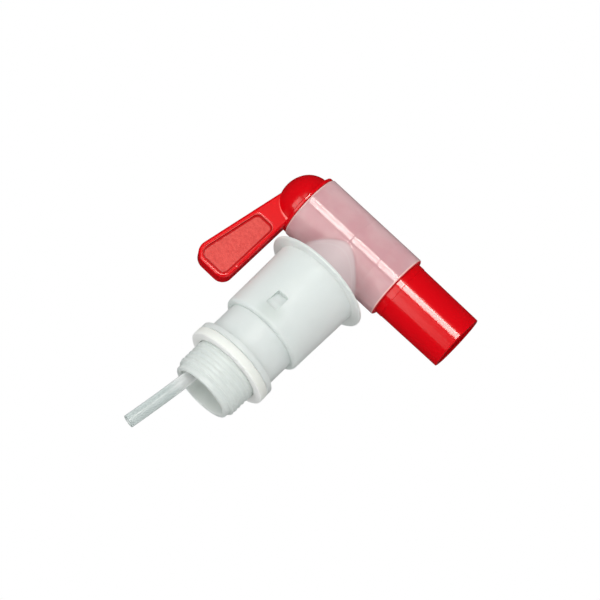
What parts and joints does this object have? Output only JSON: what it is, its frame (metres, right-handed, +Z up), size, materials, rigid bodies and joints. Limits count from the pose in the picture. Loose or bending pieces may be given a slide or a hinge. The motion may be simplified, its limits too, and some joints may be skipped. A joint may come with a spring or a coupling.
{
  "type": "jerrycan tap",
  "caption": "Plastic tap for a jerrycan: threaded neck with a sealing ring and vent tube, and a red rotary key with a lever and a downward spout.",
  "frame": {"origin": "where the thread's axis meets the gasket's sealing face", "axes": "+Y along the thread's axis into the container, +Z up along the barrel towards the lever and dome"},
  "size_m": [0.0426, 0.119, 0.0906],
  "materials": {
    "natural_plastic": "natural polyethylene, milky and translucent, satin",
    "natural_plastic_neck": "natural polyethylene, milky and translucent, satin",
    "gasket_white": "soft white sealing plastic, matte",
    "red_plastic": "bright red polypropylene, glossy, with a finely textured lever panel",
    "clear_tube": "clear semi-rigid tube, slightly hazy"
  },
  "bodies": {
    "tap_body": {"valve_body": "natural_plastic", "threaded_adaptor": "natural_plastic_neck", "sealing_gasket": "gasket_white", "vent_tube": "clear_tube"},
    "key": {"rotary_key": "red_plastic"}
  },
  "joints": [
    {"name": "key_turn", "type": "hinge", "parent": "tap_body", "child": "key", "pos_m": [0, -0.06705, 0], "axis": [0, 0, 1], "range_deg": [-90, 90]}
  ]
}
